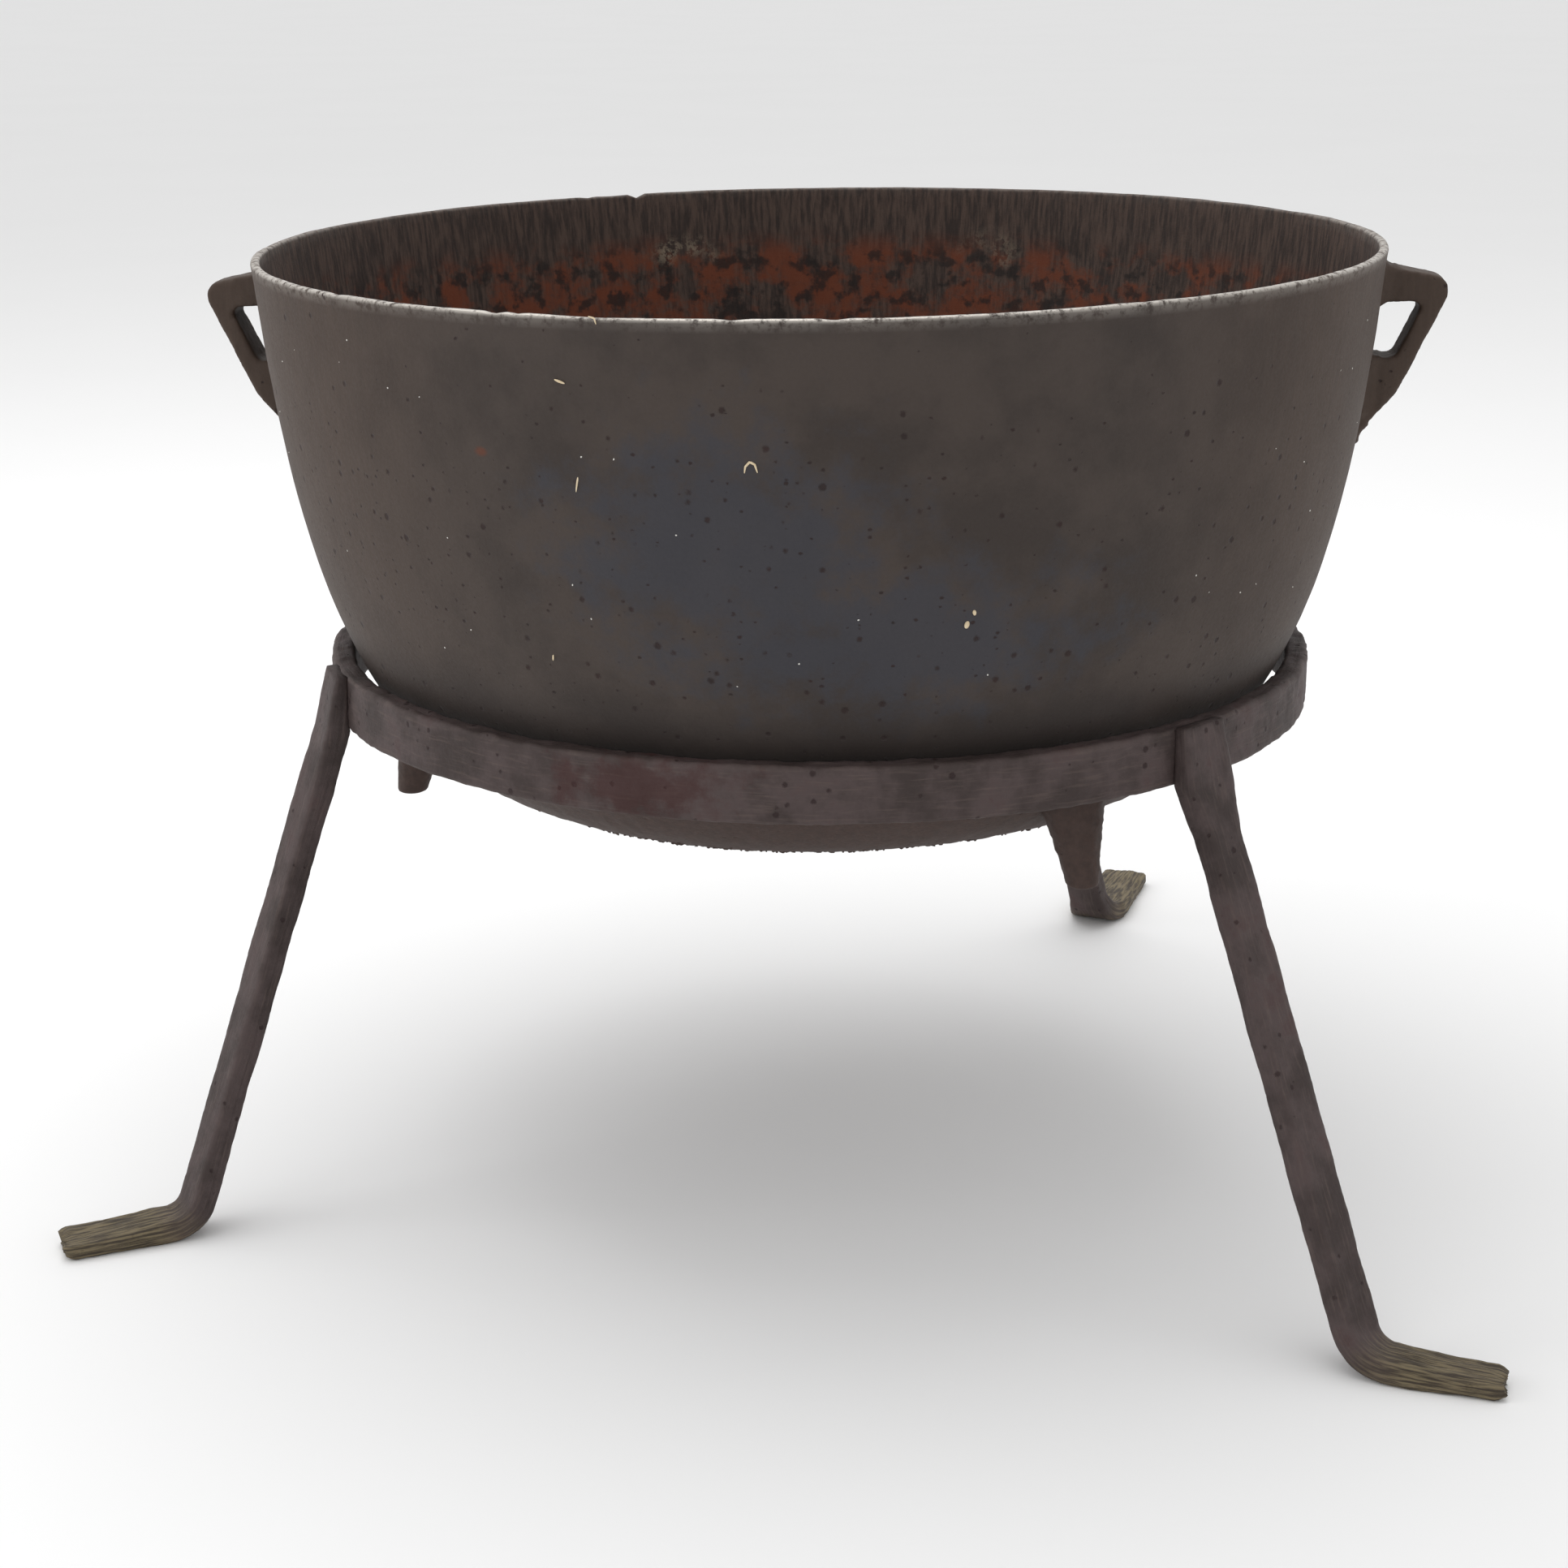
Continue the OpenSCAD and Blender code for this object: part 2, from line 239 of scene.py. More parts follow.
def swell(made, heights):
    """Moves each point of a piece along its normal."""
    normals = np.empty(3 * len(made.data.vertices))
    made.data.vertex_normals.foreach_get("vector", normals)
    reshape(made, spots(made) + normals.reshape(-1, 3) * np.reshape(heights, (-1, 1)))


def mark(made, name, values):
    """Writes one number, or one vector, for each point, which a material can read by that name."""
    values = np.asarray(values, np.float32)
    layer = made.data.attributes.new(name, "FLOAT_VECTOR" if values.ndim == 2 else "FLOAT", "POINT")
    layer.data.foreach_set("vector" if values.ndim == 2 else "value", np.ravel(values))


def lean(made, axis, degrees):
    """Tips a piece a little about the Y direction, at the height of the ring's top."""
    pivot = Matrix.Translation(axis + Vector((0, 0, RING_TOP)))
    made.data.transform(pivot @ Matrix.Rotation(math.radians(-degrees), 4, "Y") @ pivot.inverted())


def baked(made):
    """The piece as its modifiers leave it, with the modifiers gone."""
    finished = bpy.data.meshes.new_from_object(made.evaluated_get(bpy.context.evaluated_depsgraph_get()))
    made.modifiers.clear()
    made.data = finished
    return made


print("helpers ready")

# %% [markdown]
# ## Helpers for finishes
#
# A finish is a network of shader nodes. These helpers add one node each, so that a material reads from top to
# bottom as a list of steps. Effects that more than one material needs are node groups with named inputs.

# %% Shader nodes in one line
def put(tree, kind, inputs=None, **settings):
    """One shader node. An input that is given a socket is linked, and any other is set."""
    made = tree.nodes.new("ShaderNode" + kind)
    for name, value in settings.items():
        setattr(made, name, value)
    for key, value in (inputs or {}).items():
        if isinstance(value, bpy.types.NodeSocket):
            tree.links.new(value, made.inputs[key])
        else:
            made.inputs[key].default_value = value
    return made


def calc(tree, operation, *values):
    return put(tree, "Math", dict(enumerate(values)), operation=operation).outputs[0]


def ease(tree, value, start, end, low=0.0, high=1.0):
    """Goes smoothly from low to high as the value goes from start to end."""
    return put(tree, "MapRange", {0: value, 1: start, 2: end, 3: low, 4: high},
               interpolation_type="SMOOTHSTEP").outputs[0]


def tint(tree, share, under, over, blend="MIX"):
    """Colour over another, by a share from 0 to 1."""
    return put(tree, "Mix", {0: share, 6: under, 7: over}, data_type="RGBA", blend_type=blend).outputs[2]


def cloud(tree, place, size, detail=3.0, rough=0.55):
    """Noise from 0 to 1 with lumps of that size in metres."""
    return put(tree, "TexNoise", {"Vector": place, "Scale": 1 / size, "Detail": detail, "Roughness": rough}).outputs[0]


def stretch(tree, place, factors):
    return put(tree, "VectorMath", {0: place, 1: factors}, operation="MULTIPLY").outputs[0]


def shade(red, green, painted_sky_sheen):
    """A colour as seen in a photograph, 0 to 255, as the light that it stands for."""
    def light(v):
        v = v / 255
        return v / 12.92 if v <= 0.04045 else ((v + 0.055) / 1.055) ** 2.4
    return light(red), light(green), light(painted_sky_sheen), 1


def group(name, inputs, outputs):
    """An empty node group with its sockets. Returns the tree, its inputs and its outputs."""
    tree = bpy.data.node_groups.new(name, "ShaderNodeTree")
    kinds = {float: "NodeSocketFloat", tuple: "NodeSocketVector"}
    for label, value in inputs.items():
        tree.interface.new_socket(label, in_out="INPUT", socket_type=kinds[type(value)]).default_value = value
    for label in outputs:
        tree.interface.new_socket(label, in_out="OUTPUT", socket_type="NodeSocketFloat")
    return tree, tree.nodes.new("NodeGroupInput").outputs, tree.nodes.new("NodeGroupOutput").inputs


def use(tree, kind, **inputs):
    """A node group placed in a material, with its inputs by name. Returns its outputs."""
    return put(tree, "Group", {k.replace("_", " "): v for k, v in inputs.items()}, node_tree=kind).outputs


# %% [markdown]
# Old cast iron is dotted with pits where sand grains or gas sat in the mould and rust went deeper. Each cell
# of a Voronoi texture may hold one pit, of its own size, so that they lie scattered and never in rows. The
# second group makes a soft blotch about a point, ragged at its edge: a patch of rust, a tide mark, a sheen.

# %% Shared effects
def make_pits():
    tree, given, result = group("pits", {"Place": (0, 0, 0), "Spacing": 0.006, "Share": 0.5, "Width": 0.3}, ["Mask"])
    ragged = put(tree, "TexNoise", {"Vector": given["Place"], "Scale": 900.0, "Detail": 1.0}).outputs["Color"]
    pushed = put(tree, "VectorMath", {0: ragged, 1: (0.0011, 0.0011, 0.0011)}, operation="MULTIPLY").outputs[0]
    place = put(tree, "VectorMath", {0: given["Place"], 1: pushed}, operation="ADD").outputs[0]
    cells = put(tree, "TexVoronoi", {"Vector": place, "Scale": calc(tree, "DIVIDE", 1.0, given["Spacing"])})
    chance = put(tree, "SeparateColor", {0: cells.outputs["Color"]}).outputs
    absent = calc(tree, "GREATER_THAN", chance[0], given["Share"])
    width = calc(tree, "MULTIPLY", given["Width"], calc(tree, "ADD", 0.45, chance[1]))
    edge = calc(tree, "SUBTRACT", width, calc(tree, "ADD", cells.outputs["Distance"], absent))
    tree.links.new(ease(tree, edge, -0.03, 0.12), result["Mask"])
    return tree


def make_blotch():
    tree, given, result = group("blotch", {"Place": (0, 0, 0), "Centre": (0, 0, 0), "Reach": (1, 1, 1), "Ragged": 0.5}, ["Mask"])
    off = put(tree, "VectorMath", {0: given["Place"], 1: given["Centre"]}, operation="SUBTRACT").outputs[0]
    near = put(tree, "VectorMath", {0: off, 1: given["Reach"]}, operation="DIVIDE").outputs[0]
    far = put(tree, "VectorMath", {0: near}, operation="LENGTH").outputs["Value"]
    torn = calc(tree, "SUBTRACT", cloud(tree, given["Place"], 0.02, 5.0, 0.65), 0.5)
    edge = calc(tree, "MULTIPLY_ADD", torn, calc(tree, "MULTIPLY", given["Ragged"], 4.0), far)
    tree.links.new(ease(tree, edge, 1.0, 0.3), result["Mask"])
    return tree


def make_streaks():
    tree, given, result = group("streaks", {"Place": (0, 0, 0), "Width": 0.003, "Length": 0.05}, ["Mask"])
    long = calc(tree, "DIVIDE", 1.0, given["Length"])
    wide = calc(tree, "DIVIDE", 1.0, given["Width"])
    factors = put(tree, "CombineXYZ", {0: wide, 1: wide, 2: long}).outputs[0]
    stretched = put(tree, "VectorMath", {0: given["Place"], 1: factors}, operation="MULTIPLY").outputs[0]
    lines = put(tree, "TexNoise", {"Vector": stretched, "Scale": 1.0, "Detail": 4.0, "Roughness": 0.6}).outputs[0]
    tree.links.new(lines, result["Mask"])
    return tree


pits, blotch, streaks = make_pits(), make_blotch(), make_streaks()
print("shared effects:", pits.name, blotch.name, streaks.name)

# %% [markdown]
# ## Pot iron
#
# The casting is one dark brown-grey skin, full of small dark pits with reddish bottoms. Painted light and shade lie
# on it: a lighter, browner painted reflection towards the silhouettes, a bluish painted sky reflection in the lower
# middle, and painted shade just above the ring. Inside it is drier and browner, with rust round the old water line
# and a chalky tide mark. The lip is rubbed bright. The wall is told apart by marks on the mesh: `inside` is 1 in
# the pot, and `worn` is 1 on the lip.

# %% Pot iron: the outside
def finish_of(name):
    """An empty material. Returns it, its tree and its Principled shader."""
    made = bpy.data.materials.new(name)
    made.use_nodes = True
    return made, made.node_tree, made.node_tree.nodes["Principled BSDF"]


def pot_place(tree):
    """Object coordinates with the pot's axis at zero."""
    place = put(tree, "TexCoord").outputs["Object"]
    return put(tree, "VectorMath", {0: place, 1: pot_axis}, operation="SUBTRACT").outputs[0]


def read(tree, name):
    return put(tree, "Attribute", attribute_name=name).outputs["Fac"]


def outer_skin(tree, place):
    """Colour of the pot's outside, with painted reflections at the silhouettes and in the lower middle, painted shade
    above the ring, and a mask of its pits.
    """
    axes = put(tree, "SeparateXYZ", {0: place}).outputs
    mottle = cloud(tree, place, 0.07, 5.0, 0.6)
    colour = tint(tree, ease(tree, mottle, 0.38, 0.62), shade(54, 46, 42), shade(66, 57, 52))
    # Painted reflection: two bluish blotches on the lower front wall stand for the sky mirrored in the skin.
    painted_sky_sheen = calc(tree, "MAXIMUM",
                use(tree, blotch, Place=place, Centre=(-0.045, -0.28, 0.385), Reach=(0.10, 0.2, 0.07), Ragged=0.5)[0],
                use(tree, blotch, Place=place, Centre=(0.03, -0.27, 0.34), Reach=(0.13, 0.2, 0.045), Ragged=0.5)[0])
    colour = tint(tree, calc(tree, "MULTIPLY", painted_sky_sheen, 0.75), colour, shade(54, 55, 62))
    # Painted reflection: towards the left and right silhouettes the wall turns lighter and browner, with faint
    # streaks, as grazing light off white surroundings would show it.
    side = ease(tree, calc(tree, "ABSOLUTE", axes[0]), 0.13, 0.27)
    painted_rim_sheen = tint(tree, use(tree, streaks, Place=place)[0], shade(58, 44, 34), shade(84, 66, 54))
    colour = tint(tree, calc(tree, "MULTIPLY", side, 0.6), colour, painted_rim_sheen)
    crowded = ease(tree, axes[2], 0.47, 0.40, 0.08, 0.5)
    few = use(tree, pits, Place=place, Spacing=0.0085, Share=crowded, Width=0.17)[0]
    many = use(tree, pits, Place=stretch(tree, place, (1, 1, 1.3)), Spacing=0.0052,
               Share=calc(tree, "MULTIPLY", crowded, ease(tree, mottle, 0.35, 0.6, 0.25, 1.0)), Width=0.17)[0]
    pitted = calc(tree, "MAXIMUM", few, many)
    deep = tint(tree, cloud(tree, place, 0.012), shade(22, 18, 18), shade(48, 24, 20))
    colour = tint(tree, calc(tree, "MULTIPLY", pitted, 0.85), colour, deep)
    spot = use(tree, blotch, Place=place, Centre=(-0.152, -0.238, 0.422), Reach=(0.004, 0.02, 0.003), Ragged=0.2)[0]
    colour = tint(tree, calc(tree, "MULTIPLY", spot, 0.7), colour, shade(96, 50, 30))
    # Painted shade: the wall darkens just above the ring, as the stand's shadow would darken it.
    low = ease(tree, axes[2], 0.315, 0.287)
    colour = tint(tree, calc(tree, "MULTIPLY", low, 0.5), colour, shade(34, 28, 27))
    scale = ease(tree, axes[2], 0.262, 0.240)
    crust = tint(tree, cloud(tree, place, 0.004, 4.0, 0.7), shade(40, 32, 30), shade(92, 70, 62))
    return tint(tree, calc(tree, "MULTIPLY", scale, 0.7), colour, crust), pitted


# %% Pot iron: the inside and the lip
def inner_skin(tree, place):
    """Colour of the pot's inside: dry brown, rust round the old water line, and a chalky tide mark."""
    axes = put(tree, "SeparateXYZ", {0: place}).outputs
    lines = use(tree, streaks, Place=place, Width=0.0022, Length=0.03)[0]
    colour = tint(tree, ease(tree, lines, 0.35, 0.65), shade(46, 36, 32), shade(78, 62, 54))
    band = calc(tree, "MULTIPLY", ease(tree, axes[2], 0.465, 0.445), ease(tree, axes[2], 0.37, 0.42))
    spread = cloud(tree, place, 0.024, 5.0, 0.65)
    rusty = calc(tree, "MULTIPLY", band, ease(tree, spread, 0.42, 0.62))
    colour = tint(tree, calc(tree, "MULTIPLY", rusty, 0.9), colour, shade(104, 50, 26))
    darkness = calc(tree, "MULTIPLY", band, ease(tree, cloud(tree, place, 0.011, 4.0), 0.5, 0.62))
    colour = tint(tree, calc(tree, "MULTIPLY", darkness, 0.8), colour, shade(24, 17, 15))
    left = use(tree, blotch, Place=place, Centre=(-0.075, 0.235, 0.452), Reach=(0.055, 0.05, 0.012), Ragged=0.7)[0]
    right = use(tree, blotch, Place=place, Centre=(0.102, 0.232, 0.457), Reach=(0.03, 0.05, 0.016), Ragged=0.7)[0]
    chalk = calc(tree, "MULTIPLY", calc(tree, "MAXIMUM", left, right), ease(tree, cloud(tree, place, 0.005, 4.0, 0.7), 0.45, 0.6))
    return tint(tree, calc(tree, "MULTIPLY", chalk, 0.75), colour, shade(140, 126, 108))


def make_pot_iron():
    made, tree, shader = finish_of("pot iron")
    place = pot_place(tree)
    outside, pitted = outer_skin(tree, place)
    inside, worn = read(tree, "inside"), read(tree, "worn")
    colour = tint(tree, inside, outside, inner_skin(tree, place))
    rubbed = calc(tree, "MULTIPLY", worn, ease(tree, cloud(tree, place, 0.004, 4.0, 0.7), 0.33, 0.55))
    colour = tint(tree, rubbed, colour, shade(190, 184, 176))
    grit = cloud(tree, place, 0.0016, 4.0, 0.65)
    pebbled = cloud(tree, place, 0.009, 3.0)
    height = calc(tree, "MULTIPLY_ADD", grit, 0.35, calc(tree, "MULTIPLY", pebbled, 0.5))
    height = calc(tree, "SUBTRACT", height, calc(tree, "MULTIPLY", pitted, calc(tree, "SUBTRACT", 1.0, inside)))
    bump = put(tree, "Bump", {"Strength": 0.55, "Distance": 0.8 * mm, "Height": height})
    roughness = calc(tree, "MULTIPLY_ADD", grit, 0.3, ease(tree, rubbed, 0.0, 1.0, 0.5, 0.2))
    tree.links.new(colour, shader.inputs["Base Color"])
    tree.links.new(roughness, shader.inputs["Roughness"])
    tree.links.new(calc(tree, "MULTIPLY", rubbed, 0.6), shader.inputs["Metallic"])
    tree.links.new(bump.outputs[0], shader.inputs["Normal"])
    shader.inputs["Specular IOR Level"].default_value = 0.3
    return made


pot_iron = make_pot_iron()
print("finish:", pot_iron.name, len(pot_iron.node_tree.nodes), "nodes")

# %% [markdown]
# ## Stand iron
#
# The stand is wrought iron, drawn out under the hammer. Slag in it runs along the bar, so weather opens it in
# long fibres, most of all at the thin feet. Each bar carries `grain`, the distance around it and along it,
# and `edge`, which is 1 on its corners, and each leg carries `earth`, which grows towards the toes.

# %% Stand iron
def make_stand_iron():
    made, tree, shader = finish_of("stand iron")
    place = put(tree, "TexCoord").outputs["Object"]
    grain = put(tree, "Attribute", attribute_name="grain").outputs["Vector"]
    edge, earth = read(tree, "edge"), read(tree, "earth")
    mottle = cloud(tree, place, 0.03, 5.0, 0.62)
    colour = tint(tree, ease(tree, mottle, 0.36, 0.64), shade(56, 46, 44), shade(78, 66, 65))
    fibre = put(tree, "TexNoise", {"Vector": stretch(tree, grain, (700.0, 45.0, 1.0)), "Scale": 1.0,
                                   "Detail": 4.0, "Roughness": 0.6}).outputs[0]
    colour = tint(tree, calc(tree, "MULTIPLY", ease(tree, fibre, 0.5, 0.7), 0.35), colour, shade(98, 84, 78))
    pitted = use(tree, pits, Place=place, Spacing=0.0062, Share=0.4, Width=0.2)[0]
    colour = tint(tree, calc(tree, "MULTIPLY", pitted, 0.85), colour, shade(38, 22, 22))
    red = calc(tree, "MAXIMUM",
               use(tree, blotch, Place=place, Centre=(-0.052, -0.285, 0.266), Reach=(0.05, 0.06, 0.02), Ragged=0.8)[0],
               calc(tree, "MULTIPLY", ease(tree, mottle, 0.56, 0.68), 0.5))
    colour = tint(tree, calc(tree, "MULTIPLY", red, 0.65), colour, shade(58, 26, 24))
    colour = tint(tree, calc(tree, "MULTIPLY", edge, 0.3), colour, shade(110, 96, 90))
    dusty = tint(tree, ease(tree, fibre, 0.4, 0.62), shade(58, 50, 38), shade(122, 110, 84))
    colour = tint(tree, earth, colour, dusty)
    grit = cloud(tree, place, 0.0018, 4.0, 0.65)
    height = calc(tree, "MULTIPLY_ADD", fibre, 0.6, calc(tree, "MULTIPLY", grit, 0.5))
    height = calc(tree, "SUBTRACT", height, pitted)
    bump = put(tree, "Bump", {"Strength": 0.6, "Distance": 0.9 * mm, "Height": height})
    tree.links.new(colour, shader.inputs["Base Color"])
    tree.links.new(calc(tree, "MULTIPLY_ADD", grit, 0.3, 0.5), shader.inputs["Roughness"])
    tree.links.new(bump.outputs[0], shader.inputs["Normal"])
    shader.inputs["Specular IOR Level"].default_value = 0.3
    return made


stand_iron = make_stand_iron()
print("finish:", stand_iron.name, len(stand_iron.node_tree.nodes), "nodes")

# %% [markdown]
# The small things need finishes too: chaff and specks of lime on the pot, and the floor.

# %% Chaff, lime and floor
def make_plain(name, dark, pale, size, roughness):
    """A dry finish of two close colours."""
    made, tree, shader = finish_of(name)
    place = put(tree, "TexCoord").outputs["Object"]
    tree.links.new(tint(tree, cloud(tree, place, size), dark, pale), shader.inputs["Base Color"])
    shader.inputs["Roughness"].default_value = roughness
    return made


straw = make_plain("straw", shade(196, 172, 134), shade(236, 220, 190), 0.002, 0.6)
lime = make_plain("lime", shade(200, 198, 190), shade(236, 234, 228), 0.001, 0.8)
paper = make_plain("pale floor", shade(240, 240, 240), shade(243, 243, 243), 0.5, 0.9)
floor.data.materials.append(paper)
print("finishes:", straw.name, lime.name, paper.name)

# %% [markdown]
# ## Bowl
#
# A pot is a lathe shape: one profile, turned about the axis. A Screw modifier would do, but the wall of a sand
# casting isn't a perfect turning, and the lip has chips and a notch at their own places. So the profile is
# carried round by hand, ring by ring, and each ring may change a little as it goes round. The section starts
# at the middle of the bottom, climbs the outside, turns over the lip and goes down the inside, so that the
# whole wall is one closed skin.

# %% Section of the wall
LIP = 1.9 * mm
AROUND = 640


def pot_r(depth):
    """Radius of the pot's outside at a depth below the rim."""
    t = np.clip(np.asarray(depth) / POT_DEPTH, 0, 1)
    return (RIM_R - FLARE * t) * (1 - t ** BELLY) ** (1 / KNUCKLE)


def wall_curve(top_r, depth):
    """Profile from the rim to the middle of the bottom, as radius and height above the rim."""
    a = np.linspace(0, np.pi / 2, 400)
    t = np.sin(a) ** (2 / BELLY)
    return np.stack([(top_r - FLARE * t) * np.cos(a) ** (2 / KNUCKLE), -depth * t], -1)


def pot_section():
    """Radius and height of the whole wall, from the bottom's outside over the lip to its inside."""
    outside = wall_curve(RIM_R, POT_DEPTH)
    inside = wall_curve(RIM_R - WALL, POT_DEPTH - BASE_WALL)
    outside, inside = outside[outside[:, 1] < -LIP], inside[inside[:, 1] < -LIP]
    over = np.radians(np.linspace(0, 180, 11))
    squared = np.sign(np.cos(over)) * np.abs(np.cos(over)) ** 0.7
    lip = np.stack([RIM_R - WALL / 2 + WALL / 2 * squared, -LIP + LIP * np.sin(over) ** 0.8], -1)
    near = even(outside[outside[:, 1] > -14 * mm], 6)
    far = even(outside[outside[:, 1] <= -14 * mm], 80)
    return np.vstack([far[::-1], near[::-1], lip, even(inside, 44)])[1:-1]


section = pot_section()
print(f"section of {len(section)} points, wall {WALL / mm} mm, bottom {BASE_WALL / mm} mm")

# %% Bowl, with its chipped lip
# Each chip is its direction in degrees, half its width in degrees and its depth in millimetres
RIM_CHIPS = ((-119.4, 1.2, 1.0), (-117.0, 0.9, 0.5), (-97.3, 1.6, 0.8), (-88.6, 1.4, 0.9), (-109.0, 5.5, 0.5),
             (112.5, 1.1, 2.4), (118.7, 1.3, 0.8), (116.0, 3.5, 0.6), (-60.0, 2.0, 0.5), (-140.0, 1.6, 0.6))


def lip_drop(degrees):
    """How far the lip is worn down at a direction."""
    drop = np.zeros_like(degrees)
    for azimuth, half, depth in RIM_CHIPS:
        off = np.abs((degrees - azimuth + 180) % 360 - 180)
        drop = np.maximum(drop, depth * mm * np.clip(1 - off / half, 0, 1))
    return drop


def make_bowl():
    turn = np.arange(AROUND) * 2 * np.pi / AROUND
    out = np.stack([np.cos(turn), np.sin(turn)], -1)
    wander = 0.35 * mm * lumps(np.c_[out * 4, np.zeros(AROUND)], 1.0, 3, seed=2)
    rings = []
    for radius, height in section:
        near_lip = math.exp(-((height / (9 * mm)) ** 2))
        drop = (lip_drop(np.degrees(turn)) - wander) * near_lip
        rings.append(np.c_[pot_axis.x + out[:, 0] * radius, pot_axis.y + out[:, 1] * radius, RIM_Z + height - drop])
    made = loft("cauldron_bowl", rings)
    points = spots(made)
    low = np.clip((RING_TOP - points[:, 2]) / (30 * mm), 0, 1)
    uneven = 0.25 * mm * lumps(points, 40 * mm, 2) + 0.12 * mm * lumps(points, 9 * mm, 2, seed=3)
    swell(made, uneven + low * 0.5 * mm * lumps(points, 7 * mm, 2, seed=4))
    outer = len(section) - 44 - 6
    step = np.repeat(np.arange(len(section)), AROUND)
    inside = np.r_[step > outer, [False, True]]
    from_lip = np.abs(points[:, 2] - RIM_Z) / mm
    radius = np.hypot(points[:, 0] - pot_axis.x, points[:, 1] - pot_axis.y)
    front = np.clip(0.55 - (points[:, 1] - pot_axis.y) / RIM_R, 0.12, 1)
    worn = np.exp(-((from_lip / 1.5) ** 2)) * front
    mark(made, "inside", inside.astype(float))
    mark(made, "worn", worn)
    made.data.materials.append(pot_iron)
    lean(made, pot_axis, POT_TILT)
    return made


bowl = make_bowl()
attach(bowl, "cauldron")
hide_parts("bowl")
print("bowl:", len(bowl.data.polygons), "faces")

# %% [markdown]
# ## Ears
#
# An ear is cast with the wall: a bar that falls a little as it goes out, and a strap that slants back to the
# wall and leaves an eye for a hook. Its outline is drawn flat and given its width. A voxel remesh and a few
# rounds of smoothing then take the sharp edges off, as a worn mould does, and the root is spread where it
# grows out of the wall.

# %% Ear outline
EAR_DROP, EAR_FALL, EAR_REACH = 12 * mm, 8 * mm, 36 * mm
EAR_BAR, EAR_STRAP = 11 * mm, 9.5 * mm
ELBOW_DOWN, ELBOW_OUT, ROOT_DOWN = 78 * mm, 8 * mm, 103 * mm
EAR_ROOT_W, EAR_CORNER_W = 26 * mm, 20 * mm
SUNK = 3 * mm


def rounded(a, b, c, radius, steps=6):
    """Corner b between a and c, as an arc of that radius."""
    a, b, c = (np.array(p, float) for p in (a, b, c))
    to_a, to_c = unit(a - b), unit(c - b)
    half = math.acos(float(to_a @ to_c)) / 2
    centre = b + unit(to_a + to_c) * radius / math.sin(half)
    first = b + to_a * radius / math.tan(half) - centre
    last = b + to_c * radius / math.tan(half) - centre
    return [centre + radius * unit(first * (1 - s) + last * s) for s in np.linspace(0, 1, steps + 1)]


def ear_outline():
    """Distance from the axis and height above the rim, round the bar, the strap and the eye."""
    corner = np.array([RIM_R + EAR_REACH, -EAR_DROP - EAR_FALL])
    elbow = np.array([RIM_R + ELBOW_OUT, -ELBOW_DOWN])
    run = unit(elbow - corner)
    inner = corner + np.array([run[1], -run[0]]) * EAR_STRAP
    eye_top = corner[1] - EAR_BAR
    eye_low = (eye_top - ELBOW_DOWN) / 2 - EAR_STRAP / 2
    top_in = [inner[0] + (eye_top - inner[1]) * run[0] / run[1], eye_top]
    low_in = [inner[0] + (eye_low - inner[1]) * run[0] / run[1], eye_low]

    def sunk(height):
        return [pot_r(-height) - SUNK, height]

    return [sunk(-EAR_DROP), *rounded(sunk(-EAR_DROP), corner, elbow, 8 * mm),
            *rounded(corner, elbow, sunk(-ROOT_DOWN), 24 * mm), sunk(-ROOT_DOWN), sunk(eye_low),
            *rounded(sunk(eye_low), low_in, top_in, 3.5 * mm), *rounded(low_in, top_in, sunk(eye_top), 3.5 * mm),
            sunk(eye_top)]


print("ear outline:", len(ear_outline()), "points")


# %% Ears
def make_ear(name, azimuth, burr, seed):
    outline = np.array(ear_outline())
    tip = outline[:, 0].max()
    half = np.interp(outline[:, 0], [RIM_R, tip], [EAR_ROOT_W / 2, EAR_CORNER_W / 2])
    count = len(outline)
    points = np.vstack([np.c_[outline[:, 0], half, outline[:, 1]], np.c_[outline[:, 0], -half, outline[:, 1]]])
    sides = [(i, (i + 1) % count, count + (i + 1) % count, count + i) for i in range(count)]
    made = piece(name, points, [tuple(range(count))[::-1], tuple(range(count, 2 * count)), *sides])
    remesh = made.modifiers.new("voxels", "REMESH")
    remesh.mode = "VOXEL"
    remesh.voxel_size = 1.25 * mm
    smooth = made.modifiers.new("worn edges", "SMOOTH")
    smooth.factor, smooth.iterations = 0.5, 9
    baked(made)
    made.data.transform(Matrix.Translation(pot_axis + Vector((0, 0, RIM_Z)))
                        @ Matrix.Rotation(math.radians(azimuth), 4, "Z"))
    made.data.shade_smooth()
    points = spots(made)
    proud = np.hypot(points[:, 0] - pot_axis.x, points[:, 1] - pot_axis.y) - pot_r(RIM_Z - points[:, 2])
    spread = 2.6 * mm * np.clip(1 - proud / (8 * mm), 0, 1) ** 2 * (proud > -SUNK * 0.7)
    skin = 0.3 * mm * lumps(points, 14 * mm, 2, seed) + 0.16 * mm * lumps(points, 3.5 * mm, 2, seed + 1)
    rough = burr * mm * np.clip(lumps(points, 4 * mm, 2, seed + 2), 0, 1) * np.exp(-((proud / (10 * mm)) ** 2))
    swell(made, spread + skin + rough)
    made.data.materials.append(pot_iron)
    lean(made, pot_axis, POT_TILT)
    return made


for side, azimuth, burr in (("right", -4, 1.4), ("left", 176, 0.5)):
    ear = make_ear(f"cauldron_ear_{side}", azimuth, burr, seed=5 if side == "right" else 9)
    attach(ear, "cauldron")
    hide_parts(f"ear_{side}")
    print(ear.name, len(ear.data.polygons), "faces")

# %% [markdown]
# ## Stub feet
#
# Three short drafted pegs under the belly, leaning out, flat at the tip. Each is a loft along its own axis.
# Points that would come through the wall are held just under the pot's skin.

# %% Stub feet
STUB_IN, STUB_STAND = 21.6 * mm, 3 * mm
STUB_TIP_R, STUB_ROOT_R = 8 * mm, 20 * mm
STUB_LEAN = 13
SEAT_DROP = RIM_Z - RING_TOP


